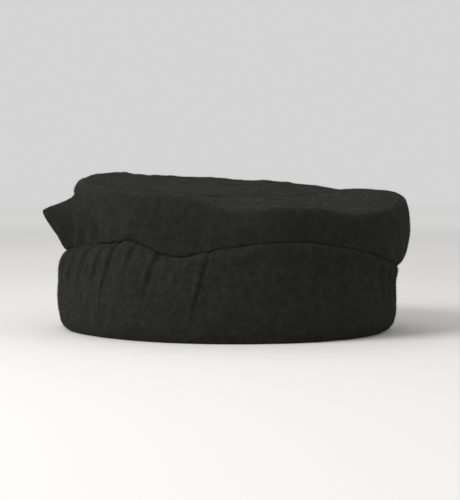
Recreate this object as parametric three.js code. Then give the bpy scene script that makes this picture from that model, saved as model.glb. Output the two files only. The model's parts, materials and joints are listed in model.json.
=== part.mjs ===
// A pakol, the soft round hat of fulled wool: a rolled rim, a side wall that puffs out over it and a
// round crown panel. Millimetres, +Z up, front toward -Y, wearer's left toward +X. The hat rests on
// the flat underside of its rim at z = 0. An azimuth is in degrees, 0 at the front, and grows toward
// the wearer's right (-X), so 180 is the back.
import * as THREE from "three";

// Head opening, measured inside the felt
const HEAD_WIDTH = 165;
const HEAD_LENGTH = 200;

// Cloth
const FELT = 3;
const STITCH_GAP = 0.35;
const EDGE_ROUND = 1.2;

// Rolled rim: how far it stands out from the side wall, its height, the round of its foot, where it
// is widest as a share of its height, and how full its section is, 1 for a plain ellipse
const ROLL_DEPTH = 18;
const RIM_HEIGHT = 55;
const FOOT_ROUND = 9;
const ROLL_WIDEST = 0.42;
const ROLL_FULLNESS = 0.8;

// Share of the rim's height up to which the side wall inside it stands upright
const WALL_UPRIGHT = 0.5;

// Puffed side wall above the rim, and how far it turns in over its shoulder to the crown seam
const PUFF_DEPTH = 25;
const BAG_RISE = 45;
const SHOULDER = 10;

// Crown panel: how far its middle sags below its edge, and how the sag spreads
const CROWN_SAG = 5;
const SAG_SPREAD = 2.2;

// Pointed fold at the wearer's right-back: azimuth, length, half width in degrees, how sharply it is
// pinched, its reach below and above the bag's widest place as shares of the bag's rise, and the lift
// of its tip
const EAR_AT = 112.5;
const EAR_LENGTH = 17.5;
const EAR_SPREAD = 17;
const EAR_PINCH = 1.8;
const EAR_BELOW = 0.68;
const EAR_ABOVE = 0.2;
const EAR_LIFT = 0.5;

// Depth of the rim's gathers, and how far round one leans as it runs from the lip to the foot
const GATHER_DEPTH = 3.2;
const GATHER_LEAN = 8;

// Depth of the bag's dents
const DENT_DEPTH = 8;

// Steps of the mesh round the hat: coarse, and fine where the small folds lie
const COARSE_STEP = 5;
const FINE_STEP = 2.5;
const FINE_SPANS = [
  { from: 25, to: 130 },
  { from: 285, to: 325 },
];

// Sections round the hat. roll: reach of the rim beyond the side wall, share of ROLL_DEPTH. crease:
// reach of the crease above the rim, share of that roll. lip: height of the crease, share of
// RIM_HEIGHT. puff: widest reach of the bag beyond the lower wall, share of PUFF_DEPTH. rise: height
// of the crown seam above the crease, share of BAG_RISE. swell: height of the widest place, share of
// that rise. shoulder: how far the seam lies in from the widest place, share of SHOULDER.
const SECTIONS = [
  { at: 0, roll: 0.67, crease: 0.62, lip: 1.1, puff: 0.45, rise: 0.44, swell: 0.5, shoulder: 0.71 },
  { at: 9, roll: 0.66, crease: 0.55, lip: 1.1, puff: 0.42, rise: 0.44, swell: 0.5, shoulder: 0.58 },
  { at: 17, roll: 0.68, crease: 0.48, lip: 1.08, puff: 0.3, rise: 0.43, swell: 0.5, shoulder: 1.02 },
  { at: 28, roll: 0.75, crease: 0.4, lip: 1.02, puff: 0.26, rise: 0.57, swell: 0.48, shoulder: 1.35 },
  { at: 42, roll: 0.89, crease: 0.28, lip: 0.93, puff: 0.32, rise: 0.85, swell: 0.55, shoulder: 1.38 },
  { at: 60, roll: 1.0, crease: 0.26, lip: 1.12, puff: 0.48, rise: 0.62, swell: 0.55, shoulder: 0.8 },
  { at: 72, roll: 1.0, crease: 0.22, lip: 1.08, puff: 0.45, rise: 0.68, swell: 0.55, shoulder: 0.65 },
  { at: 85, roll: 1.04, crease: 0.2, lip: 1.05, puff: 0.44, rise: 0.77, swell: 0.55, shoulder: 0.65 },
  { at: 113, roll: 1.1, crease: 0.6, lip: 0.95, puff: 0.44, rise: 1.0, swell: 0.53, shoulder: 0.95 },
  { at: 145, roll: 0.95, crease: 0.5, lip: 0.9, puff: 0.45, rise: 1.16, swell: 0.52, shoulder: 1.25 },
  { at: 180, roll: 0.78, crease: 0.4, lip: 0.87, puff: 0.4, rise: 1.2, swell: 0.54, shoulder: 1.31 },
  { at: 215, roll: 1.0, crease: 0.5, lip: 0.84, puff: 0.72, rise: 1.16, swell: 0.56, shoulder: 1.1 },
  { at: 250, roll: 1.4, crease: 0.7, lip: 0.79, puff: 1.28, rise: 1.1, swell: 0.54, shoulder: 1.2 },
  { at: 280, roll: 1.4, crease: 0.86, lip: 0.75, puff: 1.42, rise: 1.1, swell: 0.5, shoulder: 1.0 },
  { at: 300, roll: 1.3, crease: 0.88, lip: 0.75, puff: 1.32, rise: 1.0, swell: 0.5, shoulder: 0.55 },
  { at: 318, roll: 1.1, crease: 0.93, lip: 0.82, puff: 1.02, rise: 0.78, swell: 0.5, shoulder: 0.45 },
  { at: 332, roll: 0.92, crease: 0.92, lip: 0.92, puff: 0.76, rise: 0.61, swell: 0.5, shoulder: 0.5 },
  { at: 346, roll: 0.75, crease: 0.8, lip: 1.02, puff: 0.55, rise: 0.5, swell: 0.5, shoulder: 0.78 },
];

// Gathers pressed into the rim. wide: half width in degrees. deep: share of GATHER_DEPTH. low, high:
// the stretch of the rim's height that it covers, as shares.
const GATHERS = [
  { at: 34, wide: 2.8, deep: 0.8, low: 0.2, high: 1 },
  { at: 51.5, wide: 3, deep: 1, low: 0.25, high: 1 },
  { at: 70, wide: 3, deep: 1.2, low: 0.15, high: 1 },
  { at: 87, wide: 3.4, deep: 1.2, low: 0.3, high: 1 },
  { at: 104, wide: 3.6, deep: 0.8, low: 0.2, high: 1 },
  { at: 130, wide: 6, deep: 0.9, low: 0.2, high: 1 },
  { at: 152, wide: 7, deep: 0.7, low: 0.2, high: 1 },
  { at: 176, wide: 7, deep: 0.8, low: 0.2, high: 1 },
  { at: 203, wide: 7, deep: 0.8, low: 0.2, high: 1 },
  { at: 232, wide: 7, deep: 0.9, low: 0.2, high: 1 },
  { at: 262, wide: 6, deep: 0.8, low: 0.2, high: 1 },
  { at: 297, wide: 3.4, deep: 1, low: 0.15, high: 1 },
  { at: 309, wide: 3, deep: 0.8, low: 0.2, high: 1 },
  { at: 319, wide: 3, deep: 1, low: 0.2, high: 1 },
];

// Dents in the bag. up: height of the middle, share of the way from crease to seam. wide: half width
// in degrees. tall: half height, as the same share. deep: share of DENT_DEPTH.
const DENTS = [
  { at: 86, up: 0.15, wide: 10, tall: 0.45, deep: 1 },
  { at: 66, up: 0.3, wide: 6, tall: 0.4, deep: 0.3 },
  { at: 128, up: 0.45, wide: 8, tall: 0.35, deep: 0.6 },
  { at: 165, up: 0.4, wide: 11, tall: 0.5, deep: 0.45 },
  { at: 205, up: 0.5, wide: 9, tall: 0.5, deep: 0.4 },
  { at: 243, up: 0.45, wide: 10, tall: 0.5, deep: 0.5 },
  { at: 275, up: 0.5, wide: 8, tall: 0.5, deep: 0.35 },
];

const FULL_TURN = 360;
const QUARTER = Math.PI / 2;

function turnedWithin(degrees) {
  return ((degrees % FULL_TURN) + FULL_TURN) % FULL_TURN;
}

// Shortest way round from one azimuth to another, in degrees, signed
function wayRound(from, to) {
  return turnedWithin(to - from + FULL_TURN / 2) - FULL_TURN / 2;
}

function bell(distance, halfWidth) {
  return Math.exp(-((distance / halfWidth) ** 2));
}

// One column of the section table at any azimuth, on a smooth closed curve through its rows
function sectionValue(column, azimuth) {
  const count = SECTIONS.length;
  const angle = turnedWithin(azimuth);
  let i = count - 1;
  while (SECTIONS[i].at > angle) i -= 1;
  const row = (k) => SECTIONS[(k + count) % count];
  const at = (k) => row(k).at + FULL_TURN * Math.floor(k / count);
  const slope = (k) => (row(k + 1)[column] - row(k - 1)[column]) / (at(k + 1) - at(k - 1));
  const span = at(i + 1) - at(i);
  const t = (angle - at(i)) / span;
  const start = row(i)[column] * (2 * t ** 3 - 3 * t ** 2 + 1);
  const end = row(i + 1)[column] * (3 * t ** 2 - 2 * t ** 3);
  const leave = slope(i) * span * (t ** 3 - 2 * t ** 2 + t);
  const arrive = slope(i + 1) * span * (t ** 3 - t ** 2);
  return start + end + leave + arrive;
}

function headReach(azimuth) {
  const a = THREE.MathUtils.degToRad(azimuth);
  return 1 / Math.hypot(Math.sin(a) / (HEAD_WIDTH / 2), Math.cos(a) / (HEAD_LENGTH / 2));
}

// The named places of the section at one azimuth, in millimetres
function sectionAt(azimuth) {
  const share = (column) => sectionValue(column, azimuth);
  const head = headReach(azimuth);
  const wall = head + FELT;
  const roll = ROLL_DEPTH * share("roll");
  const creaseHeight = RIM_HEIGHT * share("lip");
  const rise = BAG_RISE * share("rise");
  const puffReach = wall + PUFF_DEPTH * share("puff");
  return {
    azimuth,
    head,
    wall,
    rollReach: wall + roll,
    creaseReach: wall + roll * share("crease"),
    creaseHeight,
    puffReach,
    puffHeight: creaseHeight + rise * share("swell"),
    seamReach: puffReach - SHOULDER * share("shoulder"),
    seamHeight: creaseHeight + rise,
    rise,
  };
}

// Reach of the side wall's outer face below the crease, upright first and then out over the roll
function lowerWallReach(section, share) {
  const t = THREE.MathUtils.smoothstep(share, WALL_UPRIGHT, 1);
  const eased = t * share;
  return THREE.MathUtils.lerp(section.wall, section.creaseReach, eased);
}

// The bag's dents and its pointed fold: moves a point of the outer face out or in
function shapedBagPoint(section, reach, height) {
  const up = (height - section.creaseHeight) / section.rise;
  let moved = reach;
  for (const dent of DENTS) {
    const round = bell(wayRound(dent.at, section.azimuth), dent.wide);
    moved -= DENT_DEPTH * dent.deep * round * bell(up - dent.up, dent.tall) * Math.min(1, 4 * up * (1 - up));
  }
  const swell = (section.puffHeight - section.creaseHeight) / section.rise;
  const away = Math.abs(wayRound(EAR_AT, section.azimuth)) / EAR_SPREAD;
  const round = Math.max(0, 1 - away) ** EAR_PINCH;
  const fade = up < swell ? (swell - up) / EAR_BELOW : (up - swell) / EAR_ABOVE;
  const point = round * Math.max(0, 1 - fade);
  return { reach: moved + EAR_LENGTH * point, height: height + EAR_LIFT * point };
}

const LOWER_SHARES = [0.35, 0.6, 0.8, 0.92];
const PUFF_STEPS = 4;

// Outer face of the side wall at one azimuth, from its foot up to the crown seam
function wallOutside(section) {
  const path = [{ reach: section.wall, height: 0 }];
  for (const share of LOWER_SHARES) {
    path.push({ reach: lowerWallReach(section, share), height: share * section.creaseHeight });
  }
  path.push({ reach: section.creaseReach, height: section.creaseHeight });
  for (let i = 1; i <= PUFF_STEPS; i += 1) {
    const t = (QUARTER * i) / PUFF_STEPS;
    const reach = THREE.MathUtils.lerp(section.creaseReach, section.puffReach, Math.sin(t));
    const height = THREE.MathUtils.lerp(section.puffHeight, section.creaseHeight, Math.cos(t));
    path.push(shapedBagPoint(section, reach, height));
  }
  for (let i = 1; i <= PUFF_STEPS; i += 1) {
    const t = (QUARTER * i) / PUFF_STEPS;
    const seamEdge = section.seamReach + EDGE_ROUND;
    const reach = THREE.MathUtils.lerp(seamEdge, section.puffReach, Math.cos(t));
    const height = THREE.MathUtils.lerp(section.puffHeight, section.seamHeight, Math.sin(t));
    path.push(shapedBagPoint(section, reach, height));
  }
  return path;
}

// A path moved sideways by the felt's thickness, toward the inside of the hat
function offsetInward(path, thickness) {
  return path.map((point, i) => {
    const before = path[Math.max(0, i - 1)];
    const after = path[Math.min(path.length - 1, i + 1)];
    const along = new THREE.Vector2(after.reach - before.reach, after.height - before.height).normalize();
    return { reach: point.reach - along.y * thickness, height: point.height + along.x * thickness };
  });
}

function wallProfile(section) {
  const outside = wallOutside(section);
  const inside = offsetInward(outside, FELT);
  inside[0] = { reach: section.head, height: EDGE_ROUND };
  const last = inside.length - 1;
  inside[last] = { reach: section.seamReach, height: section.seamHeight - FELT };
  const groove = { reach: section.seamReach, height: section.seamHeight - EDGE_ROUND };
  const foot = { reach: section.head + EDGE_ROUND, height: 0 };
  return [...outside, groove, ...inside.reverse(), foot];
}

// A point of the rim's face, pressed in by the gathers in step with the roll's thickness there
function gatheredPoint(section, reach, height) {
  const share = height / section.creaseHeight;
  const thickness = (reach - lowerWallReach(section, share)) / (section.rollReach - section.wall);
  let depth = 0;
  for (const gather of GATHERS) {
    const side = gather.at < FULL_TURN / 2 ? 1 : -1;
    const middle = gather.at + side * GATHER_LEAN * (0.5 - share);
    const t = THREE.MathUtils.clamp((share - gather.low) / (gather.high - gather.low), 0, 1);
    const round = bell(wayRound(middle, section.azimuth), gather.wide);
    depth += GATHER_DEPTH * gather.deep * round * Math.sin(Math.PI * t);
  }
  return { reach: reach - depth * thickness, height };
}

const ROLL_STEPS = 4;

// Closed section of the rolled rim: flat foot, round outer face, lip, and the inner face along the wall
function rimProfile(section) {
  const profile = [];
  const foot = Math.min(FOOT_ROUND, (section.rollReach - section.wall) / 2);
  const widest = ROLL_WIDEST * section.creaseHeight;
  const inner = offsetInward(wallOutside(section), -STITCH_GAP).slice(0, LOWER_SHARES.length + 2);
  const lip = inner[inner.length - 1];
  for (let i = 0; i <= ROLL_STEPS; i += 1) {
    const t = (QUARTER * i) / ROLL_STEPS;
    const reach = section.rollReach - foot * (1 - Math.sin(t) ** ROLL_FULLNESS);
    profile.push(gatheredPoint(section, reach, widest * (1 - Math.cos(t) ** ROLL_FULLNESS)));
  }
  for (let i = 1; i < ROLL_STEPS; i += 1) {
    const t = (QUARTER * i) / ROLL_STEPS;
    const reach = THREE.MathUtils.lerp(lip.reach, section.rollReach, Math.cos(t) ** ROLL_FULLNESS);
    const height = THREE.MathUtils.lerp(widest, lip.height, Math.sin(t) ** ROLL_FULLNESS);
    profile.push(gatheredPoint(section, reach, height));
  }
  return [...profile, ...inner.reverse()];
}

const CROWN_RINGS = [0.35, 0.6, 0.8, 0.94];

// Crown panel from the middle of its underside out to the side wall and back to the middle of its top
function crownProfile(section, middleHeight) {
  const edge = section.seamReach - STITCH_GAP;
  const top = CROWN_RINGS.map((share) => {
    const height = THREE.MathUtils.lerp(middleHeight, section.seamHeight, share ** SAG_SPREAD);
    return { reach: edge * share, height };
  });
  const under = top.map((point) => ({ reach: point.reach, height: point.height - FELT }));
  return [
    ...under,
    { reach: edge, height: section.seamHeight - FELT },
    { reach: edge, height: section.seamHeight - EDGE_ROUND },
    { reach: edge - EDGE_ROUND, height: section.seamHeight },
    ...top.reverse(),
  ];
}

function azimuthSteps() {
  const steps = [];
  let azimuth = 0;
  while (azimuth < FULL_TURN) {
    steps.push(azimuth);
    const fine = FINE_SPANS.some((span) => azimuth >= span.from && azimuth < span.to);
    azimuth += fine ? FINE_STEP : COARSE_STEP;
  }
  return steps;
}

function placed(azimuth, point) {
  const a = THREE.MathUtils.degToRad(azimuth);
  return [-point.reach * Math.sin(a), -point.reach * Math.cos(a), point.height];
}

function solidGeometry(positions, indices) {
  const geometry = new THREE.BufferGeometry();
  geometry.setAttribute("position", new THREE.Float32BufferAttribute(positions, 3));
  geometry.setIndex(indices);
  geometry.computeVertexNormals();
  return geometry;
}

function pointsOf(sections, profiles) {
  return profiles.flatMap((profile, i) => {
    return profile.flatMap((point) => placed(sections[i].azimuth, point));
  });
}

// Faces between neighbouring profiles. Each four-sided patch is split along the diagonal that runs
// down and round, so that two cloths that lie together have facets that lie together too.
function stripFaces(profiles, closed) {
  const faces = [];
  const length = profiles[0].length;
  const joins = closed ? length : length - 1;
  for (let i = 0; i < profiles.length; i += 1) {
    const next = (i + 1) % profiles.length;
    for (let j = 0; j < joins; j += 1) {
      const k = (j + 1) % length;
      const a = i * length + j;
      const b = i * length + k;
      const c = next * length + k;
      const d = next * length + j;
      if (profiles[i][k].height > profiles[i][j].height) faces.push(a, b, d, b, c, d);
      else faces.push(a, b, c, a, c, d);
    }
  }
  return faces;
}

// A ring-shaped solid from one closed profile for each azimuth
function ringSolid(sections, profileOf) {
  const profiles = sections.map(profileOf);
  return solidGeometry(pointsOf(sections, profiles), stripFaces(profiles, true));
}

// A round panel from open profiles that start and end near the axis, closed at its two middles
function panelSolid(sections, profileOf, topMiddle, underMiddle) {
  const profiles = sections.map(profileOf);
  const length = profiles[0].length;
  const positions = pointsOf(sections, profiles);
  const faces = stripFaces(profiles, false);
  const top = positions.length / 3;
  const under = top + 1;
  positions.push(0, 0, topMiddle, 0, 0, underMiddle);
  for (let i = 0; i < sections.length; i += 1) {
    const here = i * length;
    const next = ((i + 1) % sections.length) * length;
    faces.push(under, here, next);
    faces.push(top, next + length - 1, here + length - 1);
  }
  return solidGeometry(positions, faces);
}

function feltMaterial(color, roughness) {
  return new THREE.MeshStandardMaterial({ color, roughness, metalness: 0 });
}

function namedMesh(name, geometry, material) {
  const mesh = new THREE.Mesh(geometry, material);
  mesh.name = name;
  return mesh;
}

const sections = azimuthSteps().map(sectionAt);
const meanSeam = sections.reduce((sum, section) => sum + section.seamHeight, 0) / sections.length;
const crownMiddle = meanSeam - CROWN_SAG;

const rim = namedMesh("rolled_rim", ringSolid(sections, rimProfile), feltMaterial("#2d2d2c", 0.95));
const wall = namedMesh("side_wall", ringSolid(sections, wallProfile), feltMaterial("#2a2a29", 0.95));
const crown = namedMesh(
  "crown_top",
  panelSolid(sections, (section) => crownProfile(section, crownMiddle), crownMiddle, crownMiddle - FELT),
  feltMaterial("#2b2b2a", 0.95),
);

// The hat's own frame has its origin on the surface it rests on, under the middle of its outline
const hat = new THREE.Group();
hat.add(rim, wall, crown);
hat.updateMatrixWorld(true);
const middle = new THREE.Box3().setFromObject(hat).getCenter(new THREE.Vector3());
for (const mesh of hat.children) mesh.position.set(-middle.x, -middle.y, 0);

export default hat;
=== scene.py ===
"""A pakol, the soft round hat of fulled black wool, finished round its fixed frame.

The frame holds the rolled rim, the side wall and the crown panel as plain solids. Each is copied,
rounded into cloth and then shaped: pleats in the rim, a bag that lies on it, with puckers and the
pinched fold at the wearer's right-back, and the sewn edge of the crown. A nap of loose fibres follows.
Lengths are metres. An azimuth is in degrees, 0 at the front, growing toward the wearer's right.
"""

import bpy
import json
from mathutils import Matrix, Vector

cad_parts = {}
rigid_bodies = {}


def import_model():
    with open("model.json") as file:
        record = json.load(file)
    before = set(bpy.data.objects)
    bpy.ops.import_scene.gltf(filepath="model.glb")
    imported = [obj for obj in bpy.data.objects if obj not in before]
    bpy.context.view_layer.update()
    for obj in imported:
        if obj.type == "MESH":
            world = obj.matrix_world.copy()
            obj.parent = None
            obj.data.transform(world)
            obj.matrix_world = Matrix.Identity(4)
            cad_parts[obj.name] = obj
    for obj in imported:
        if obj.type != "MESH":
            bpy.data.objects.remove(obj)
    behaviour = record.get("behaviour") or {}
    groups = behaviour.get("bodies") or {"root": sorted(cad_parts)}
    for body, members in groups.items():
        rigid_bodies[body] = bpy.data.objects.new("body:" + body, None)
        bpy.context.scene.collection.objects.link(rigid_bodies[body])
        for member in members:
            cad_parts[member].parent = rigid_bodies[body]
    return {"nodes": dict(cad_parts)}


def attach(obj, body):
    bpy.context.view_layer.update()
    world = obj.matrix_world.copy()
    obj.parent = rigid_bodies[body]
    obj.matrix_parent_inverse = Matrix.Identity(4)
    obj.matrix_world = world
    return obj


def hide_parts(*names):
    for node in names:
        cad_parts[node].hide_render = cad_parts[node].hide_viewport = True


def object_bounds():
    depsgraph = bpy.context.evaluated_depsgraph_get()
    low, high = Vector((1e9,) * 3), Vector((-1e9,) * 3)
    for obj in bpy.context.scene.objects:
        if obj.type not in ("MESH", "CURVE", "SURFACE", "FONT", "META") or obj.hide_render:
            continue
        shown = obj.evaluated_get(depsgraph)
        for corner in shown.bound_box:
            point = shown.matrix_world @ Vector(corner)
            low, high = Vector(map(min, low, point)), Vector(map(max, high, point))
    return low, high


bl_info = {
    "name": "Pakol Hat",
    "version": (1, 0, 0),
    "blender": (4, 5, 0),
    "location": "View3D > Sidebar > Pakol",
    "description": "Shapes and finishes the rim, side wall and crown of a fulled wool pakol",
    "category": "Object",
}

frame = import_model()

import json
import math

import bpy
import numpy as np
from mathutils import Vector, noise
from mathutils.bvhtree import BVHTree

CAD_BOX = [list(corner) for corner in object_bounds()]
MM = 0.001
FULL_TURN = 360.0


def linear(hex_colour):
    """An sRGB hex colour as linear red, green and blue."""
    values = [int(hex_colour[i:i + 2], 16) / 255 for i in (1, 3, 5)]
    return tuple(v / 12.92 if v <= 0.04045 else ((v + 0.055) / 1.055) ** 2.4 for v in values)


class PakolFolds(bpy.types.PropertyGroup):
    gather_depth: bpy.props.FloatProperty(
        name="Gather depth", description="Depth of the pleats pressed into the rolled rim",
        default=1.5 * MM, unit="LENGTH")
    gather_ease: bpy.props.FloatProperty(
        name="Gather ease", description="Share of the frame's gathers that the soft wool fills again",
        default=0.62, min=0, max=1, subtype="FACTOR")
    pucker_depth: bpy.props.FloatProperty(
        name="Pucker depth", description="Depth of the puckers where the bag goes down behind the rim",
        default=1.7 * MM, unit="LENGTH")
    slack: bpy.props.FloatProperty(
        name="Slack", description="Height of the soft waves of the unstretched wool",
        default=2.6 * MM, unit="LENGTH")
    crown_slack: bpy.props.FloatProperty(
        name="Crown slack", description="Height of the soft waves in the crown panel",
        default=2.6 * MM, unit="LENGTH")
    lumps: bpy.props.FloatProperty(
        name="Lumps", description="Height of the small lumps that fulling leaves",
        default=0.36 * MM, unit="LENGTH")
    hollow: bpy.props.FloatProperty(
        name="Hollow", description="Depth of the hollow in the bag in front of the pinched fold",
        default=3.5 * MM, unit="LENGTH")
    seam_close: bpy.props.FloatProperty(
        name="Seam pulled shut", description="How far the crown's edge is drawn out to the side wall",
        default=0.7 * MM, unit="LENGTH")
    ear_point: bpy.props.FloatProperty(
        name="Fold point", description="How far the tip of the pinched fold is drawn out",
        default=4.4 * MM, unit="LENGTH")
    nap_length: bpy.props.FloatProperty(
        name="Nap length", description="Length of the longest loose fibres",
        default=2.0 * MM, unit="LENGTH")
    nap_width: bpy.props.FloatProperty(
        name="Nap width", description="Thickness of a tuft of loose fibres at its root",
        default=0.12 * MM, unit="LENGTH")
    slump: bpy.props.FloatProperty(
        name="Slump", description="How far the slack bag lies out over the roll beside the front",
        default=2.6 * MM, unit="LENGTH")
    settle_gap: bpy.props.FloatProperty(
        name="Settle gap", description="Gap left between the bag and the roll that it lies on",
        default=0.4 * MM, unit="LENGTH")
    notch: bpy.props.FloatProperty(
        name="Notch", description="How far the crease is drawn in under the pinched fold",
        default=3.0 * MM, unit="LENGTH")
    foot_press: bpy.props.FloatProperty(
        name="Foot press", description="How far the roll's foot is pressed down on what it rests on",
        default=0.6 * MM, unit="LENGTH")
    plump: bpy.props.FloatProperty(
        name="Plump", description="How far the top of the roll swells against the bag",
        default=1.0 * MM, unit="LENGTH")
    front_slump: bpy.props.FloatProperty(
        name="Front slump", description="How far the crease is filled at the front",
        default=3.4 * MM, unit="LENGTH")
    foot_sway: bpy.props.FloatProperty(
        name="Foot sway", description="How far the foot of the roll strays from an even curve",
        default=1.1 * MM, unit="LENGTH")
    seam_wave: bpy.props.FloatProperty(
        name="Seam wave", description="How far the crown seam rises and falls round the hat",
        default=1.1 * MM, unit="LENGTH")


class PakolColours(bpy.types.PropertyGroup):
    wool: bpy.props.FloatVectorProperty(
        name="Wool", description="Main colour of the black wool",
        default=linear("#242423"), subtype="COLOR", size=3)
    wool_deep: bpy.props.FloatVectorProperty(
        name="Deep wool", description="Colour between the fibre clumps",
        default=linear("#151514"), subtype="COLOR", size=3)
    lint: bpy.props.FloatVectorProperty(
        name="Lint", description="Colour of the few pale fibres",
        default=linear("#4a4946"), subtype="COLOR", size=3)
    sheen: bpy.props.FloatVectorProperty(
        name="Nap sheen", description="Colour of the light that the nap catches at its edge",
        default=linear("#b9b8b5"), subtype="COLOR", size=3)
    floor: bpy.props.FloatVectorProperty(
        name="Floor", description="Colour of the plain pale floor",
        default=linear("#cdccc9"), subtype="COLOR", size=3)
    # Painted light: the far floor is painted lighter than the near one, to make up for the lamps' light
    # falling off with distance
    painted_light_far_floor: bpy.props.FloatVectorProperty(
        name="Far floor", description="Colour of the floor far off, where it meets the backdrop",
        default=linear("#fbfbfa"), subtype="COLOR", size=3)


class PakolView(bpy.types.PropertyGroup):
    azimuth: bpy.props.FloatProperty(
        name="Camera azimuth", description="Where the camera stands round the hat, from the front",
        default=math.radians(26.7), subtype="ANGLE")
    elevation: bpy.props.FloatProperty(
        name="Camera elevation", description="Height of the camera above the horizon",
        default=math.radians(2.2), subtype="ANGLE")
    distance: bpy.props.FloatProperty(
        name="Camera distance", description="From the camera to the middle of the hat",
        default=1.02, unit="LENGTH")
    lens: bpy.props.FloatProperty(
        name="Lens", description="Focal length", default=112.0, subtype="DISTANCE_CAMERA")


# Gathers that the frame's rim has: azimuth at half height, half width in degrees, depth in mm, and
# where each starts as a share of the rim's height
FRAME_GATHERS = [
    dict(at=34, wide=2.8, deep=2.6, low=0.2),
    dict(at=51.5, wide=3.0, deep=3.2, low=0.25),
    dict(at=70, wide=3.0, deep=3.8, low=0.15),
    dict(at=87, wide=3.4, deep=3.8, low=0.3),
    dict(at=104, wide=3.6, deep=2.6, low=0.2),
    dict(at=130, wide=6.0, deep=2.9, low=0.2),
    dict(at=152, wide=7.0, deep=2.2, low=0.2),
    dict(at=176, wide=7.0, deep=2.6, low=0.2),
    dict(at=203, wide=7.0, deep=2.6, low=0.2),
    dict(at=232, wide=7.0, deep=2.9, low=0.2),
    dict(at=262, wide=6.0, deep=2.6, low=0.2),
    dict(at=297, wide=3.4, deep=3.2, low=0.15),
    dict(at=309, wide=3.0, deep=2.6, low=0.2),
    dict(at=319, wide=3.0, deep=3.2, low=0.2),
]

# Pleats of the soft cloth, which start in the crease and fade down the rim: azimuth at half height,
# half width in mm, share of the gather depth, where each fades out as a share of the rim's height,
# and how sharply its lap stands up beside it
PLEATS = [
    dict(at=27.5, wide=2.6, deep=0.3, low=0.45, lap=0.4),
    dict(at=34, wide=1.9, deep=0.8, low=0.1, lap=0.8),
    dict(at=42, wide=2.4, deep=0.3, low=0.5, lap=0.5),
    dict(at=51.5, wide=2.1, deep=1.0, low=0.25, lap=0.9),
    dict(at=60.5, wide=1.8, deep=0.5, low=0.4, lap=0.7),
    dict(at=70, wide=2.2, deep=1.1, low=0.15, lap=0.9),
    dict(at=77, wide=1.9, deep=0.6, low=0.35, lap=0.8),
    dict(at=87, wide=2.8, deep=0.9, low=0.25, lap=0.8),
    dict(at=96, wide=2.2, deep=0.5, low=0.2, lap=0.6),
    dict(at=104, wide=2.9, deep=0.9, low=0.2, lap=0.7),
    dict(at=121, wide=2.8, deep=0.5, low=0.3, lap=0.5),
    dict(at=130, wide=3.3, deep=1.0, low=0.15, lap=0.8),
    dict(at=152, wide=3.2, deep=0.9, low=0.25, lap=0.7),
    dict(at=163, wide=2.5, deep=0.5, low=0.5, lap=0.6),
    dict(at=176, wide=3.5, deep=1.0, low=0.2, lap=0.8),
    dict(at=203, wide=3.3, deep=0.9, low=0.2, lap=0.8),
    dict(at=216, wide=2.5, deep=0.5, low=0.4, lap=0.5),
    dict(at=232, wide=3.5, deep=1.0, low=0.15, lap=0.8),
    dict(at=262, wide=3.3, deep=0.9, low=0.2, lap=0.7),
    dict(at=274, wide=2.3, deep=0.5, low=0.35, lap=0.6),
    dict(at=297, wide=2.8, deep=0.9, low=0.1, lap=0.8),
    dict(at=309, wide=2.4, deep=0.8, low=0.2, lap=0.7),
    dict(at=319, wide=2.2, deep=0.5, low=0.15, lap=0.6),
    dict(at=326, wide=2.6, deep=0.7, low=0.1, lap=0.8),
]

# How far round a gather or a pleat leans as it runs from the lip to the foot, in degrees
GATHER_LEAN = 8.0

# Form of every pleat, in shares of its half width: how narrow it starts and how much it grows toward the
# crease, how wide its valley and its lap are, and how far toward the back the lap lies. As shares of the
# rim's height, full is where it has its whole depth, and lap_fade where the lap is gone and whole.
PLEAT = dict(narrow=0.7, grows=0.5, valley=0.8, lap=0.9, lap_at=1.5, full=0.85, lap_fade=(1.05, 0.7))

# Slack of each piece: size, share and seed of its broad waves, the same of the swells that meet in
# creases, and how soft those creases are
RIM_SLACK = dict(
    waves=34 * MM, waves_part=0.5, waves_seed=1,
    swells=30 * MM, swells_part=0.35, swells_seed=14, round_by=0.1)
WALL_SLACK = dict(
    waves=40 * MM, waves_part=0.6, waves_seed=4,
    swells=34 * MM, swells_part=0.55, swells_seed=5, round_by=0.1)
CROWN_SLACK = dict(
    waves=50 * MM, waves_part=0.8, waves_seed=9,
    swells=44 * MM, swells_part=0.6, swells_seed=15, round_by=0.15)

# Waves in which the roll's foot strays from an even curve: share of the foot sway, size and seed
FOOT_SWAY = [(0.9, 26 * MM, 16), (0.5, 12 * MM, 17)]

# Small lumps that fulling leaves: the size of the larger and of the smaller ones
LUMP = 9 * MM
SMALL_LUMP = 4.5 * MM

# Puckers: how many go round the hat, the size of their uneven stretches, the seed, the share of the
# pucker depth, and the middle and half height of the band where they lie. On the bag the band is in
# shares of the way from the lip to the crown seam, on the crown in metres in from its edge.
TUCKS = dict(count=37, size=26 * MM, seed=8, part=1.0, middle=0.2, tall=0.24)
SHIRRING = dict(count=53, size=22 * MM, seed=13, part=0.55, middle=0.82, tall=0.14)
CROWN_PUCKERS = dict(count=47, size=24 * MM, seed=12, part=0.5, middle=8 * MM, tall=6 * MM)

# Waves of the crown seam: share of the seam wave, how many go round the hat, and the phase
SEAM_WAVES = [(0.55, 5, 0.6), (0.35, 9, 2.1), (0.25, 17, 4)]

# Where the cloth is drawn smooth, a little to the wearer's left of the front: azimuth and half width in
# degrees, and the share of the slack that is gone there
SMOOTH_FRONT = dict(at=345, wide=52, gone=0.72)

# Where the crease is filled at the front and drawn in under the pinched fold: its azimuth, or for the
# notch the degrees past the fold's tip, its half width in degrees and its half height in mm
FRONT_CREASE = dict(at=342, wide=42, tall=7)
FOLD_NOTCH = dict(past_tip=4, wide=14, tall=6)

# Hollow in the bag in front of the pinched fold: azimuth where it crosses the height called level, how
# far it leans, half width in degrees, and its middle and half height as shares of the bag's height
FOLD_HOLLOW = dict(at=86, level=0.3, lean=4, wide=8, middle=0.22, tall=0.3)

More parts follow.
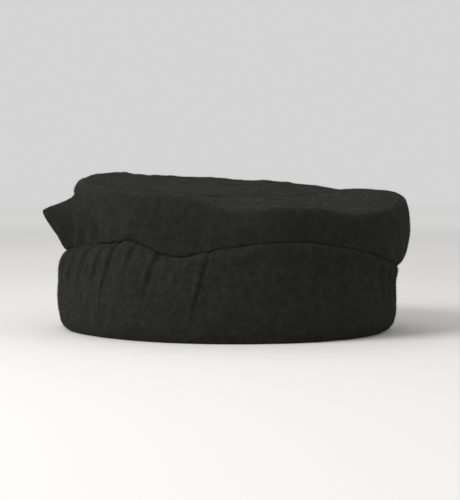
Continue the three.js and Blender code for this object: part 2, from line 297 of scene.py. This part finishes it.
# Forms round the fold's tip, each with its share of the fold point: the point itself, a ridge that runs
# down from it, the hollow before that, and the brow above, which lies in. Widths and the way round are
# in degrees, heights in mm below the tip.
TIP = dict(wide=2.6, tall=3.2)
TIP_RIDGE = dict(part=0.5, lean=0.25, wide=2.2, grown=6, fades=12, gone=26)
TIP_HOLLOW = dict(part=0.6, before=7, wide=3.6, middle=6, tall=9)
TIP_BROW = dict(part=0.9, wide=9, middle=-8.5, tall=4)

# How the bag settles on the roll. As shares of the bag's height: where this starts, up to where it is
# whole and where it ends. Then the clearance up to which it is whole and past which there is none, and
# the rounds of smoothing.
SETTLE = dict(start=0.004, whole=0.04, end=0.4, near=5 * MM, far=14 * MM, rounds=12)

# Rays that look for the roll under the bag: how far above a point they start, and their length
RAY_ABOVE = 8 * MM
RAY_LENGTH = 24 * MM

# Loose fibres: the least and greatest lean up from the cloth, the shortest as a share of the longest
# before the power that makes short ones more common, how deep a root lies, how low on the hat they start
# and how near the floor a fibre may come
FIBRE_LEAN = (0.25, 0.95)
FIBRE_SHORTEST = 0.5
FIBRE_POWER = 1.5
FIBRE_ROOT = 0.15 * MM
FIBRE_ABOVE = 2 * MM
FIBRE_CLEAR = 0.05 * MM

# Thirds of a turn in radians, where the three corners of a fibre's root lie
THIRDS = (0, 2.094, 4.189)

# Height of the hat's middle: cloth that faces away from it is outside, and has fibres
HAT_MIDDLE = 40 * MM

# The three pieces of cloth: the solid and the material slot that each stands for, its rounding, its
# tone beside the wool's colour, and its nap. The roll looks a little lighter than the bag, though all are
# one
# cloth: the tone is painted light on the roll and painted shade on the bag and crown, set against the
# light from above.
RIM = dict(
    name="rim_roll", node="rolled_rim", slot="rim_wool", place="rim", levels=3, painted_light_tone=1.16,
    nap="rim_nap", fibres=44000, seed=21)
WALL = dict(
    name="side_bag", node="side_wall", slot="bag_wool", place="side", levels=2, painted_light_tone=0.9,
    nap="bag_nap", fibres=40000, seed=22)
CROWN = dict(
    name="crown_panel", node="crown_top", slot="crown_wool", place="crown", levels=2, painted_light_tone=0.9,
    nap="crown_nap", fibres=26000, seed=23)


def deselect_all():
    for obj in bpy.context.selected_objects:
        obj.select_set(False)


def make_active(obj):
    deselect_all()
    obj.select_set(True)
    bpy.context.view_layer.objects.active = obj


def rows_of(items, name, width, kind=float):
    """One attribute of all of a mesh's vertices, edges or faces, with a row for each."""
    values = np.empty(len(items) * width, kind)
    items.foreach_get(name, values)
    return values.reshape(-1, width)


def points_of(obj):
    return rows_of(obj.data.vertices, "co", 3)


def normals_of(obj):
    return rows_of(obj.data.vertices, "normal", 3)


def edge_ends(obj):
    return rows_of(obj.data.edges, "vertices", 2, int)


def set_points(obj, points):
    obj.data.vertices.foreach_set("co", points.astype(np.float32).ravel())
    obj.data.update()


def head_axis():
    """Middle of the head opening, from the foot of the side wall."""
    points = points_of(frame["nodes"]["side_wall"])
    foot = points[points[:, 2] < 0.1 * MM]
    return (foot.min(0)[:2] + foot.max(0)[:2]) / 2


AXIS = head_axis()


def polar(points):
    """Azimuth in degrees, reach from the hat's axis and height of each point."""
    x = points[:, 0] - AXIS[0]
    y = points[:, 1] - AXIS[1]
    azimuth = np.degrees(np.arctan2(-x, -y)) % FULL_TURN
    return azimuth, np.hypot(x, y), points[:, 2]


def outward(azimuth):
    """Level unit vectors from the axis toward each azimuth."""
    a = np.radians(azimuth)
    return np.stack([-np.sin(a), -np.cos(a), np.zeros_like(a)], 1)


class Edge:
    """A line round the hat, read from a solid's outer points: its reach and height at any azimuth."""

    # Degrees within which points count as lying at one azimuth
    SAME_AZIMUTH = 0.06

    def __init__(self, node, pick):
        azimuth, reach, height = polar(points_of(frame["nodes"][node]))
        outer = reach > reach.max() / 2
        rows = []
        for step in np.unique(np.round(azimuth[outer], 1)):
            here = np.nonzero(outer & (np.abs(azimuth - step) < self.SAME_AZIMUTH))[0]
            best = here[np.argmax(pick(reach[here], height[here]))]
            rows.append((step, reach[best], height[best]))
        self.steps, self.reaches, self.heights = (np.array(column) for column in zip(*rows))

    def reach(self, azimuth):
        return np.interp(azimuth, self.steps, self.reaches, period=FULL_TURN)

    def height(self, azimuth):
        return np.interp(azimuth, self.steps, self.heights, period=FULL_TURN)


# Weights of the height beside the reach: with the first a point is picked by its height and then by its
# reach, with the second by its reach and then by its height
HEIGHT_FIRST = 1000
REACH_FIRST = 0.01

# The top of the roll, the outermost line of its flat foot, and the sewn edge of the crown
RIM_LIP = Edge("rolled_rim", lambda reach, height: height)
RIM_FOOT = Edge("rolled_rim", lambda reach, height: reach - HEIGHT_FIRST * height)
CROWN_SEAM = Edge("crown_top", lambda reach, height: reach + REACH_FIRST * height)


def ear_tip():
    """Azimuth and height of the pinched fold's tip, the side wall's farthest point at the right."""
    azimuth, reach, height = polar(points_of(frame["nodes"]["side_wall"]))
    right = np.where((azimuth > 90) & (azimuth < 135), reach, 0)
    return dict(at=azimuth[np.argmax(right)], height=height[np.argmax(right)])


EAR = ear_tip()


def bell(distance, half_width):
    return np.exp(-((distance / half_width) ** 2))


def way_round(start, azimuth):
    """Signed degrees from start to azimuth, the short way."""
    return (azimuth - start + FULL_TURN / 2) % FULL_TURN - FULL_TURN / 2


def ramp(value, low, high):
    """0 below low and 1 above high, smooth between."""
    t = np.clip((value - low) / (high - low), 0, 1)
    return t * t * (3 - 2 * t)


def waves(points, size, seed):
    """Smooth noise from about -1 to 1 whose lumps are about size across."""
    shift = Vector((seed * 7.13, seed * 3.71, seed * 5.29))
    return np.array([noise.noise(Vector(p) / size + shift) for p in points])


def join_cells(obj):
    """Joins each pair of triangles into a four-sided face."""
    bpy.ops.mesh.tris_convert_to_quads(
        face_threshold=math.pi, shape_threshold=math.radians(60), topology_influence=2.0)


def join_crown_cells(obj):
    """Leaves only the crown's rings and spokes, by dissolving the line across each of its cells.

    Such a line goes from one spoke to the next, in degrees, and also from one ring to the next, as a
    share of the reach, or down a step of the sewn edge."""
    spoke_apart = 0.5
    ring_apart = 0.006
    sewn_edge = 0.97
    edge_step = 0.9 * MM
    middle = 1 * MM
    bpy.ops.object.mode_set(mode="OBJECT")
    azimuth, reach, height = polar(points_of(obj))
    share = reach / CROWN_SEAM.reach(azimuth)
    below = CROWN_SEAM.height(azimuth) - height
    a, b = edge_ends(obj).T
    turned = np.abs(way_round(azimuth[a], azimuth[b])) > spoke_apart
    other_ring = np.abs(share[a] - share[b]) > ring_apart
    down_the_edge = (share[a] > sewn_edge) & (np.abs(below[a] - below[b]) > edge_step)
    off_middle = np.minimum(reach[a], reach[b]) > middle
    across = turned & (other_ring | down_the_edge) & off_middle
    obj.data.vertices.foreach_set("select", np.zeros(len(obj.data.vertices), bool))
    obj.data.polygons.foreach_set("select", np.zeros(len(obj.data.polygons), bool))
    obj.data.edges.foreach_set("select", across)
    bpy.ops.object.mode_set(mode="EDIT")
    bpy.ops.mesh.dissolve_edges(use_verts=False, use_face_split=False)


def cloth_copy(piece, join):
    """A copy of a piece's solid as one smooth mesh of four-sided faces."""
    obj = bpy.data.objects.new(piece["name"], frame["nodes"][piece["node"]].data.copy())
    bpy.context.scene.collection.objects.link(obj)
    make_active(obj)
    bpy.ops.object.mode_set(mode="EDIT")
    bpy.ops.mesh.select_mode(type="EDGE")
    bpy.ops.mesh.select_all(action="SELECT")
    bpy.ops.mesh.remove_doubles(threshold=0.01 * MM)
    join(obj)
    bpy.ops.object.mode_set(mode="OBJECT")
    round_off = obj.modifiers.new("rounded cloth", "SUBSURF")
    round_off.levels = piece["levels"]
    round_off.render_levels = piece["levels"]
    bpy.ops.object.modifier_apply(modifier=round_off.name)
    bpy.ops.object.shade_smooth()
    obj.data.materials.clear()
    return obj


def finish_piece(obj, node, material):
    obj.data.materials.append(material)
    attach(obj, "root")
    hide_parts(node)


def finish_nap(obj, material):
    obj.data.materials.append(material)
    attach(obj, "root")


def past_fold(fold, azimuth, share):
    """Degrees from the line of a gather, which leans as it runs down, toward the back of the hat."""
    side = 1 if fold["at"] < FULL_TURN / 2 else -1
    return side * way_round(fold["at"] + side * GATHER_LEAN * (0.5 - share), azimuth)


def eased_gather(fold, azimuth, share):
    """Depth at each point of one of the frame's gathers, which the soft wool fills in part."""
    along = np.clip((share - fold["low"]) / (1 - fold["low"]), 0, 1)
    round_it = bell(past_fold(fold, azimuth, share), fold["wide"])
    return fold["deep"] * MM * round_it * np.sin(math.pi * along) * ramp(share, 1, 0.8)


def pleat(fold, azimuth, share, reach):
    """Height of one lapped pleat across the rim, from about -1 in its valley to 1 on its lap."""
    across = np.radians(past_fold(fold, azimuth, share)) * reach / MM
    along = ramp(share, fold["low"], PLEAT["full"])
    wide = fold["wide"] * (PLEAT["narrow"] + PLEAT["grows"] * along)
    valley = bell(across, PLEAT["valley"] * wide)
    lap = bell(across - PLEAT["lap_at"] * wide, PLEAT["lap"] * wide) * ramp(share, *PLEAT["lap_fade"])
    return along * (fold["lap"] * lap - fold["deep"] * valley)


def creased(points, size, seed, round_by):
    """Swells that meet in creases, from about -0.4 to 2; round_by softens the creases."""
    folded = waves(points, size, seed)
    # The two numbers taken off bring the mean to about 0
    return 3 * (np.sqrt(folded ** 2 + round_by ** 2) - 0.22 - 0.3 * round_by)


def slackness(points, slack):
    """Unstretched cloth, mostly between -1 and 1: broad waves, and swells that meet in creases."""
    broad = waves(points, slack["waves"], slack["waves_seed"])
    swells = creased(points, slack["swells"], slack["swells_seed"], slack["round_by"])
    return slack["waves_part"] * broad + slack["swells_part"] * swells


def lumps(points, seed):
    """Small lumps of fulled cloth, mostly between -1 and 1."""
    return waves(points, LUMP, seed) + 0.6 * waves(points, SMALL_LUMP, seed + 1)


def uneven(points, azimuth, kind):
    """Puckers round the hat, mostly between -1 and 1: uneven in width and height, missing here and
    there."""
    # Radians by which noise moves the puckers, so that they aren't evenly spaced
    drift = 2.6 * waves(points, kind["size"], kind["seed"])
    ripple = np.sin(np.radians(azimuth) * kind["count"] + drift)
    strength = np.clip(0.55 + 1.3 * waves(points, 1.7 * kind["size"], kind["seed"] + 40), 0, 1.3)
    return ripple * strength


def looseness(azimuth):
    """How slack the cloth is round the hat, 1 but for the smooth front."""
    return 1 - SMOOTH_FRONT["gone"] * bell(way_round(SMOOTH_FRONT["at"], azimuth), SMOOTH_FRONT["wide"])


def seam_wave(azimuth):
    """Height by which the crown seam rises and falls round the hat, as two cloths share it."""
    a = np.radians(azimuth)
    return sum(part * np.sin(count * a + phase) for part, count, phase in SEAM_WAVES)


def crease_shift(azimuth, height, folds):
    """How far the bag and the roll lean out together at the front, where the bag hides the crease,
    and in together under the pinched fold."""
    above = (height - RIM_LIP.height(azimuth)) / MM
    off_front = way_round(FRONT_CREASE["at"], azimuth)
    off_notch = way_round(EAR["at"] + FOLD_NOTCH["past_tip"], azimuth)
    front = folds.front_slump * bell(off_front, FRONT_CREASE["wide"]) * bell(above, FRONT_CREASE["tall"])
    return front - folds.notch * bell(off_notch, FOLD_NOTCH["wide"]) * bell(above, FOLD_NOTCH["tall"])


def side_slump(azimuth, up, folds):
    """How far the slack bag lies out over the roll from the front round to the pinched fold."""
    beside = ramp(azimuth, 2, 30) * ramp(azimuth, 104, 84)
    return folds.slump * beside * ramp(up, 0, 0.08) * ramp(up, 0.75, 0.25)


def evened(values, ends, rounds):
    """Values at a mesh's points, averaged with their neighbours' along its edges."""
    size = len(values)
    count = np.bincount(ends.ravel(), minlength=size)
    for _ in range(rounds):
        total = np.bincount(ends[:, 0], values[ends[:, 1]], size)
        total += np.bincount(ends[:, 1], values[ends[:, 0]], size)
        values = (values + total / count) / 2
    return values


def height_over(points, chosen, roll):
    """How far above the roll each chosen point lies, less than 0 inside it and NaN past its edge."""
    over = np.full(len(points), np.nan)
    for i in np.nonzero(chosen)[0]:
        start = Vector(points[i]) + Vector((0, 0, RAY_ABOVE))
        hit = roll.ray_cast(start, Vector((0, 0, -1)), RAY_LENGTH)[0]
        if hit is not None:
            over[i] = points[i, 2] - hit.z
    return over


def settle(points, skin, up, ends, roll, gap):
    """Lets the bag's outer skin down on the roll, all the way at the crease and less above it."""
    tree = BVHTree.FromObject(roll, bpy.context.evaluated_depsgraph_get())
    chosen = skin & (up > SETTLE["start"]) & (up < SETTLE["end"])
    clear = np.nan_to_num(height_over(points, chosen, tree) - gap)
    low_on_bag = ramp(up, SETTLE["end"], SETTLE["whole"])
    drop = low_on_bag * ramp(clear, SETTLE["far"], SETTLE["near"]) * np.maximum(clear, 0)
    points[:, 2] -= np.where(chosen, evened(drop, ends, SETTLE["rounds"]), 0)
    sunk = np.nan_to_num(height_over(points, chosen, tree) - gap)
    points[:, 2] += np.maximum(-sunk, 0)


def shape_rim(obj, folds):
    """Pleats, slack and lumps on the rim's outer face, and a foot pressed flat."""
    points = points_of(obj)
    normals = normals_of(obj)
    azimuth, reach, height = polar(points)
    share = height / RIM_LIP.height(azimuth)
    facing = np.clip((normals * outward(azimuth)).sum(1), 0, 1)
    move = np.zeros(len(points))
    for fold in FRAME_GATHERS:
        move += folds.gather_ease * eased_gather(fold, azimuth, share)
    for fold in PLEATS:
        move += folds.gather_depth * pleat(fold, azimuth, share, reach)
    move += looseness(azimuth) * folds.slack * slackness(points, RIM_SLACK)
    move += folds.lumps * lumps(points, 2)
    moved = points + normals * (move * ramp(facing, 0.05, 0.5) * ramp(height, 0, 7 * MM))[:, None]
    foot_line = RIM_FOOT.reach(azimuth)
    foot = ramp(height, 12 * MM, 4 * MM) * ramp(reach, foot_line - 7 * MM, foot_line)
    sway = sum(part * waves(points, size, seed) for part, size, seed in FOOT_SWAY)
    moved += outward(azimuth) * (foot * folds.foot_sway * sway)[:, None]
    moved[:, 2] -= folds.foot_press * ramp(height, 5 * MM, 0)
    moved += normals * (folds.plump * bell(share - 0.93, 0.09) * ramp(facing, 0.02, 0.2))[:, None]
    moved += outward(azimuth) * crease_shift(azimuth, height, folds)[:, None]
    moved[:, 2] = np.maximum(moved[:, 2], 0)
    set_points(obj, moved)


def sharp_tip(azimuth, height, folds):
    """How far the pinched fold is drawn out: the point, a soft line down from it, and the cloth above
    and before it drawn in."""
    below = (EAR["height"] - height) / MM
    past = way_round(EAR["at"], azimuth)
    line = EAR["at"] - TIP_RIDGE["lean"] * below
    tip = bell(past, TIP["wide"]) * bell(below, TIP["tall"])
    ridge = bell(way_round(line, azimuth), TIP_RIDGE["wide"])
    ridge = ridge * ramp(below, 0, TIP_RIDGE["grown"]) * ramp(below, TIP_RIDGE["gone"], TIP_RIDGE["fades"])
    before = way_round(line - TIP_HOLLOW["before"], azimuth)
    hollow = bell(before, TIP_HOLLOW["wide"]) * bell(below - TIP_HOLLOW["middle"], TIP_HOLLOW["tall"])
    brow = bell(past, TIP_BROW["wide"]) * bell(below - TIP_BROW["middle"], TIP_BROW["tall"])
    out = tip + TIP_RIDGE["part"] * ridge - TIP_HOLLOW["part"] * hollow - TIP_BROW["part"] * brow
    return folds.ear_point * out


def shape_wall(obj, roll, folds):
    """The bag: puckers above the rim, slack in the puff, the pinched fold and the shirred seam."""
    points = points_of(obj)
    normals = normals_of(obj)
    azimuth, reach, height = polar(points)
    lip = RIM_LIP.height(azimuth)
    seam = CROWN_SEAM.height(azimuth)
    up = (height - lip) / (seam - lip)
    slope = math.pi / 2 * np.clip(up, 0, 1)
    direction = outward(azimuth) * np.cos(slope)[:, None]
    direction[:, 2] = np.sin(slope)
    loose = looseness(azimuth)
    bag = ramp(up, 0.04, 0.3) * ramp(up, 1, 0.75)
    move = bag * loose * folds.slack * slackness(points, WALL_SLACK)
    move += bag * folds.lumps * lumps(points, 6)
    tucks = bell(up - TUCKS["middle"], TUCKS["tall"]) * ramp(up, 0, 0.12)
    move += TUCKS["part"] * folds.pucker_depth * loose * tucks * uneven(points, azimuth, TUCKS)
    shirring = bell(up - SHIRRING["middle"], SHIRRING["tall"]) * ramp(up, 1, 0.88)
    move += SHIRRING["part"] * folds.pucker_depth * shirring * uneven(points, azimuth, SHIRRING)
    hollow_line = FOLD_HOLLOW["at"] - FOLD_HOLLOW["lean"] * (up - FOLD_HOLLOW["level"])
    hollow = bell(way_round(hollow_line, azimuth), FOLD_HOLLOW["wide"])
    hollow = hollow * bell(up - FOLD_HOLLOW["middle"], FOLD_HOLLOW["tall"])
    move -= folds.hollow * hollow * ramp(up, 0.02, 0.2)
    moved = points + direction * move[:, None]
    out = sharp_tip(azimuth, height, folds) + crease_shift(azimuth, height, folds)
    slump = side_slump(azimuth, up, folds)
    moved += outward(azimuth) * (out + slump)[:, None]
    moved[:, 2] += folds.seam_wave * seam_wave(azimuth) * ramp(up, 0.55, 1)
    # The outer skin is the cloth that faces out or down, and so neither up nor inwards
    skin = (normals[:, 2] < 0.3) & ((normals * outward(azimuth)).sum(1) > -0.3)
    settle(moved, skin, up, edge_ends(obj), roll, folds.settle_gap)
    moved[:, 2] = np.maximum(moved[:, 2], 0)
    set_points(obj, moved)


def shape_crown(obj, folds):
    """The crown panel: slack in the cloth and small puckers along its sewn edge."""
    points = points_of(obj)
    azimuth, reach, height = polar(points)
    edge = CROWN_SEAM.reach(azimuth) - reach
    inside = ramp(edge, 3 * MM, 24 * MM)
    flat = points * (1, 1, 0)
    move = inside * folds.crown_slack * slackness(flat, CROWN_SLACK)
    move += folds.lumps * lumps(points, 10)
    band = bell(edge - CROWN_PUCKERS["middle"], CROWN_PUCKERS["tall"])
    move += CROWN_PUCKERS["part"] * folds.pucker_depth * band * uneven(flat, azimuth, CROWN_PUCKERS)
    move += folds.seam_wave * seam_wave(azimuth) * ramp(edge, 22 * MM, 0)
    moved = points.copy()
    moved[:, 2] += move
    close_up = folds.seam_close * ramp(edge, 7 * MM, 1 * MM)
    moved += outward(azimuth) * close_up[:, None]
    set_points(obj, moved)


def nap_on(obj, name, count, folds, seed):
    """Short loose fibres over the outside of a piece, each a thin closed spike rooted in the cloth."""
    faces = obj.data.polygons
    corners = rows_of(faces, "vertices", 4, int)
    normals = rows_of(faces, "normal", 3)
    areas = rows_of(faces, "area", 1)[:, 0]
    points = points_of(obj)
    centres = points[corners].mean(1)
    from_middle = centres - (*AXIS, HAT_MIDDLE)
    outside = ((normals * from_middle).sum(1) > 0) & (centres[:, 2] > FIBRE_ABOVE)
    chance = areas * outside
    rng = np.random.default_rng(seed)
    chosen = rng.choice(len(areas), count, p=chance / chance.sum())
    u, v = rng.random((2, count, 1))
    a, b, c, d = (points[corners[chosen, i]] for i in range(4))
    roots = (a * (1 - u) + b * u) * (1 - v) + (d * (1 - u) + c * u) * v
    up = normals[chosen]
    side = np.cross(up, rng.normal(size=(count, 3)))
    side /= np.linalg.norm(side, axis=1)[:, None]
    along = side + up * rng.uniform(*FIBRE_LEAN, (count, 1))
    along /= np.linalg.norm(along, axis=1)[:, None]
    across = np.cross(along, up)
    across /= np.linalg.norm(across, axis=1)[:, None]
    third = np.cross(along, across)
    length = folds.nap_length * rng.uniform(FIBRE_SHORTEST, 1.0, (count, 1)) ** FIBRE_POWER
    thick = folds.nap_width / 2
    base = roots - along * FIBRE_ROOT
    ring = [base + thick * (math.cos(t) * across + math.sin(t) * third) for t in THIRDS]
    spikes = np.stack([*ring, roots + along * length], 1).reshape(-1, 3)
    spikes[:, 2] = np.maximum(spikes[:, 2], FIBRE_CLEAR)
    first = 4 * np.arange(count)[:, None, None]
    sides = (first + np.array([[0, 1, 3], [1, 2, 3], [2, 0, 3], [2, 1, 0]])).reshape(-1, 3)
    nap = bpy.data.meshes.new(name)
    nap.from_pydata(spikes.tolist(), [], sides.tolist())
    nap_obj = bpy.data.objects.new(name, nap)
    bpy.context.scene.collection.objects.link(nap_obj)
    return nap_obj


def add_node(tree, kind, inputs=None, links=None, **settings):
    """A node with its settings, its input values and the outputs that feed its inputs."""
    made = tree.nodes.new(kind)
    for name, value in settings.items():
        setattr(made, name, value)
    for name, value in (inputs or {}).items():
        made.inputs[name].default_value = value
    for name, output in (links or {}).items():
        tree.links.new(output, made.inputs[name])
    return made


def empty_material(name):
    """A new material and its node tree, which has no node yet."""
    material = bpy.data.materials.new(name)
    material.use_nodes = True
    material.node_tree.nodes.clear()
    return material, material.node_tree


def fulled_wool(name, colours, painted_light_tone):
    """Fulled wool cloth: woven, then wetted and pounded until the fibres mat, so the eye sees a dull,
    slightly mottled black with a nap of short fibres that catches light along edges."""
    material, tree = empty_material(name)
    place = add_node(tree, "ShaderNodeTexCoord").outputs["Object"]
    clumps = add_node(
        tree, "ShaderNodeTexNoise", {"Scale": 1 / (4.5 * MM), "Detail": 4.0, "Roughness": 0.6},
        {"Vector": place})
    nap = add_node(
        tree, "ShaderNodeTexNoise",
        {"Scale": 1 / (1.3 * MM), "Detail": 5.0, "Roughness": 0.68, "Distortion": 0.8},
        {"Vector": place})
    fibres = add_node(
        tree, "ShaderNodeTexNoise",
        {"Scale": 1 / (4.2 * MM), "Detail": 2.0, "Roughness": 0.5, "Distortion": 2.6},
        {"Vector": place})
    mottle = add_node(
        tree, "ShaderNodeMath", {1: 0.6}, {0: nap.outputs["Fac"]}, operation="MULTIPLY")
    mottle = add_node(
        tree, "ShaderNodeMath", {}, {0: mottle.outputs[0], 1: clumps.outputs["Fac"]}, operation="ADD")
    deepness = add_node(
        tree, "ShaderNodeMapRange", {"From Min": 0.5, "From Max": 1.08}, {"Value": mottle.outputs[0]})
    # Painted light and shade: the wool's colour is scaled by the piece's tone, lighter on the roll and
    # darker on the bag and crown
    body = add_node(
        tree, "ShaderNodeMix", {6: (*colours.wool_deep, 1), 7: (*(painted_light_tone * c for c in colours.wool), 1)},
        {0: deepness.outputs[0]}, data_type="RGBA")
    off_middle = add_node(
        tree, "ShaderNodeMath", {1: 0.5}, {0: fibres.outputs["Fac"]}, operation="SUBTRACT")
    off_middle = add_node(tree, "ShaderNodeMath", {}, {0: off_middle.outputs[0]}, operation="ABSOLUTE")
    stray = add_node(
        tree, "ShaderNodeMapRange",
        {"From Min": 0.0, "From Max": 0.006, "To Min": 0.4, "To Max": 0.0},
        {"Value": off_middle.outputs[0]})
    colour = add_node(
        tree, "ShaderNodeMix", {7: (*colours.lint, 1)},
        {0: stray.outputs[0], 6: body.outputs[2]}, data_type="RGBA")
    coarse = add_node(
        tree, "ShaderNodeBump", {"Strength": 0.85, "Distance": 1.8 * MM},
        {"Height": clumps.outputs["Fac"]})
    fine = add_node(
        tree, "ShaderNodeBump", {"Strength": 1.0, "Distance": 0.9 * MM},
        {"Height": nap.outputs["Fac"], "Normal": coarse.outputs["Normal"]})
    shader = add_node(
        tree, "ShaderNodeBsdfPrincipled",
        {"Roughness": 0.96, "IOR": 1.46, "Specular IOR Level": 0.1, "Sheen Weight": 0.045,
         "Sheen Roughness": 0.45, "Sheen Tint": (*colours.sheen, 1)},
        {"Base Color": colour.outputs[2], "Normal": fine.outputs["Normal"]})
    add_node(tree, "ShaderNodeOutputMaterial", {}, {"Surface": shader.outputs["BSDF"]})
    return material


def loose_fibres(name, colours):
    """Single wool fibres that stand off the matted cloth, so the eye sees a soft edge to the hat."""
    material, tree = empty_material(name)
    shader = add_node(
        tree, "ShaderNodeBsdfPrincipled",
        {"Base Color": (*colours.wool, 1), "Roughness": 0.9, "Specular IOR Level": 0.1})
    add_node(tree, "ShaderNodeOutputMaterial", {}, {"Surface": shader.outputs["BSDF"]})
    return material


def pale_floor(name, near, far):
    """Matt studio paper, painted lighter far off: painted light that makes up for the lamps' light falling
    off with distance, so that no horizon shows.
    """
    material, tree = empty_material(name)
    place = add_node(tree, "ShaderNodeTexCoord").outputs["Object"]
    away = add_node(tree, "ShaderNodeVectorMath", {}, {0: place}, operation="LENGTH")
    painted_light_blend = add_node(
        tree, "ShaderNodeMapRange", {"From Min": PAINTED_LIGHT_FADE[0], "From Max": PAINTED_LIGHT_FADE[1]},
        {"Value": away.outputs["Value"]}, interpolation_type="SMOOTHSTEP")
    colour = add_node(
        tree, "ShaderNodeMix", {6: (*near, 1), 7: (*far, 1)}, {0: painted_light_blend.outputs[0]}, data_type="RGBA")
    shader = add_node(
        tree, "ShaderNodeBsdfPrincipled", {"Roughness": 0.9, "Specular IOR Level": 0.0},
        {"Base Color": colour.outputs[2]})
    add_node(tree, "ShaderNodeOutputMaterial", {}, {"Surface": shader.outputs["BSDF"]})
    return material


def dress(obj, piece, context):
    """Gives a shaped piece its wool and its nap, attaches both to the frame and hides the solid it stands
    for.
    """
    colours = context.scene.pakol_colours
    wool = fulled_wool("fulled black wool, " + piece["place"], colours, piece["painted_light_tone"])
    finish_piece(obj, piece["node"], wool)
    nap = nap_on(obj, piece["nap"], piece["fibres"], context.scene.pakol_folds, piece["seed"])
    finish_nap(nap, loose_fibres("loose wool fibres, " + piece["place"], colours))


class PAKOL_OT_rim(bpy.types.Operator):
    """Models the rolled rim with its pleats"""

    bl_idname = "pakol.rim"
    bl_label = "Rolled rim"

    def execute(self, context):
        obj = cloth_copy(RIM, join_cells)
        shape_rim(obj, context.scene.pakol_folds)
        dress(obj, RIM, context)
        return {"FINISHED"}


class PAKOL_OT_wall(bpy.types.Operator):
    """Models the puffed side wall with its pinched fold"""

    bl_idname = "pakol.wall"
    bl_label = "Side wall"

    def execute(self, context):
        obj = cloth_copy(WALL, join_cells)
        shape_wall(obj, bpy.data.objects[RIM["name"]], context.scene.pakol_folds)
        dress(obj, WALL, context)
        return {"FINISHED"}


class PAKOL_OT_crown(bpy.types.Operator):
    """Models the round crown panel"""

    bl_idname = "pakol.crown"
    bl_label = "Crown panel"

    def execute(self, context):
        obj = cloth_copy(CROWN, join_crown_cells)
        shape_crown(obj, context.scene.pakol_folds)
        dress(obj, CROWN, context)
        return {"FINISHED"}


# The plain floor's side in metres, the even light's strength, and how far off the floor's near colour ends
# and its lighter far colour starts, in metres. That lighter far floor is painted light.
FLOOR_SIDE = 14
EVEN_LIGHT = 0.66
PAINTED_LIGHT_FADE = (0.5, 3.5)

# Softboxes: where each hangs round the hat and above it in degrees, its distance and side in
# metres, and its power in watts
SOFTBOXES = [
    dict(name="key", azimuth=80, elevation=32, distance=1.5, side=0.8, power=25),
    dict(name="fill", azimuth=-35, elevation=12, distance=1.8, side=1.3, power=9),
    dict(name="back", azimuth=195, elevation=50, distance=1.7, side=1.0, power=5),
]


def toward(azimuth, elevation):
    """Unit vector from the hat toward an azimuth and elevation in radians."""
    level = math.cos(elevation)
    return Vector((-math.sin(azimuth) * level, -math.cos(azimuth) * level, math.sin(elevation)))


class PAKOL_OT_stage(bpy.types.Operator):
    """Sets the pale floor, the soft lights and the camera"""

    bl_idname = "pakol.stage"
    bl_label = "Floor, lights and camera"

    def execute(self, context):
        colours = context.scene.pakol_colours
        view = context.scene.pakol_view
        low, high = (Vector(corner) for corner in CAD_BOX)
        middle = (low + high) / 2
        deselect_all()
        bpy.ops.mesh.primitive_plane_add(size=FLOOR_SIDE, location=(0, 0, 0))
        floor = bpy.context.object
        floor.name = "floor"
        floor.data.materials.append(pale_floor("matt pale floor", colours.floor, colours.painted_light_far_floor))
        world = bpy.data.worlds.new("even studio light")
        world.use_nodes = True
        world.node_tree.nodes["Background"].inputs["Color"].default_value = (1, 1, 1, 1)
        world.node_tree.nodes["Background"].inputs["Strength"].default_value = EVEN_LIGHT
        context.scene.world = world
        for box in SOFTBOXES:
            data = bpy.data.lights.new(box["name"], "AREA")
            data.shape = "SQUARE"
            data.size = box["side"]
            data.energy = box["power"]
            lamp = bpy.data.objects.new(box["name"], data)
            context.scene.collection.objects.link(lamp)
            way = toward(math.radians(box["azimuth"]), math.radians(box["elevation"]))
            lamp.location = middle + way * box["distance"]
            lamp.rotation_euler = (-way).to_track_quat("-Z", "Y").to_euler()
        camera = bpy.data.objects.new("camera", bpy.data.cameras.new("camera"))
        context.scene.collection.objects.link(camera)
        camera.data.lens = view.lens
        way = toward(view.azimuth, view.elevation)
        camera.location = middle + way * view.distance
        camera.rotation_euler = (-way).to_track_quat("-Z", "Y").to_euler()
        context.scene.camera = camera
        context.scene.view_settings.view_transform = "Standard"
        return {"FINISHED"}


class PAKOL_PT_panel(bpy.types.Panel):
    """Sizes, colours and steps of the pakol"""

    bl_idname = "PAKOL_PT_panel"
    bl_label = "Pakol hat"
    bl_space_type = "VIEW_3D"
    bl_region_type = "UI"
    bl_category = "Pakol"

    def draw(self, context):
        for group in (context.scene.pakol_folds, context.scene.pakol_colours, context.scene.pakol_view):
            box = self.layout.box()
            for name in type(group).__annotations__:
                box.prop(group, name)
        for step in STEPS:
            self.layout.operator(step)


STEPS = ["pakol.stage", "pakol.rim", "pakol.wall", "pakol.crown"]
CLASSES = [
    PakolFolds, PakolColours, PakolView, PAKOL_OT_rim, PAKOL_OT_wall, PAKOL_OT_crown, PAKOL_OT_stage,
    PAKOL_PT_panel,
]


def register():
    for cls in CLASSES:
        bpy.utils.register_class(cls)
    bpy.types.Scene.pakol_folds = bpy.props.PointerProperty(type=PakolFolds)
    bpy.types.Scene.pakol_colours = bpy.props.PointerProperty(type=PakolColours)
    bpy.types.Scene.pakol_view = bpy.props.PointerProperty(type=PakolView)


def unregister():
    del bpy.types.Scene.pakol_folds
    del bpy.types.Scene.pakol_colours
    del bpy.types.Scene.pakol_view
    for cls in reversed(CLASSES):
        bpy.utils.unregister_class(cls)


def main():
    register()
    for step in STEPS:
        group, name = step.split(".")
        getattr(getattr(bpy.ops, group), name)()
    bpy.context.view_layer.update()


if __name__ == "__main__":
    main()
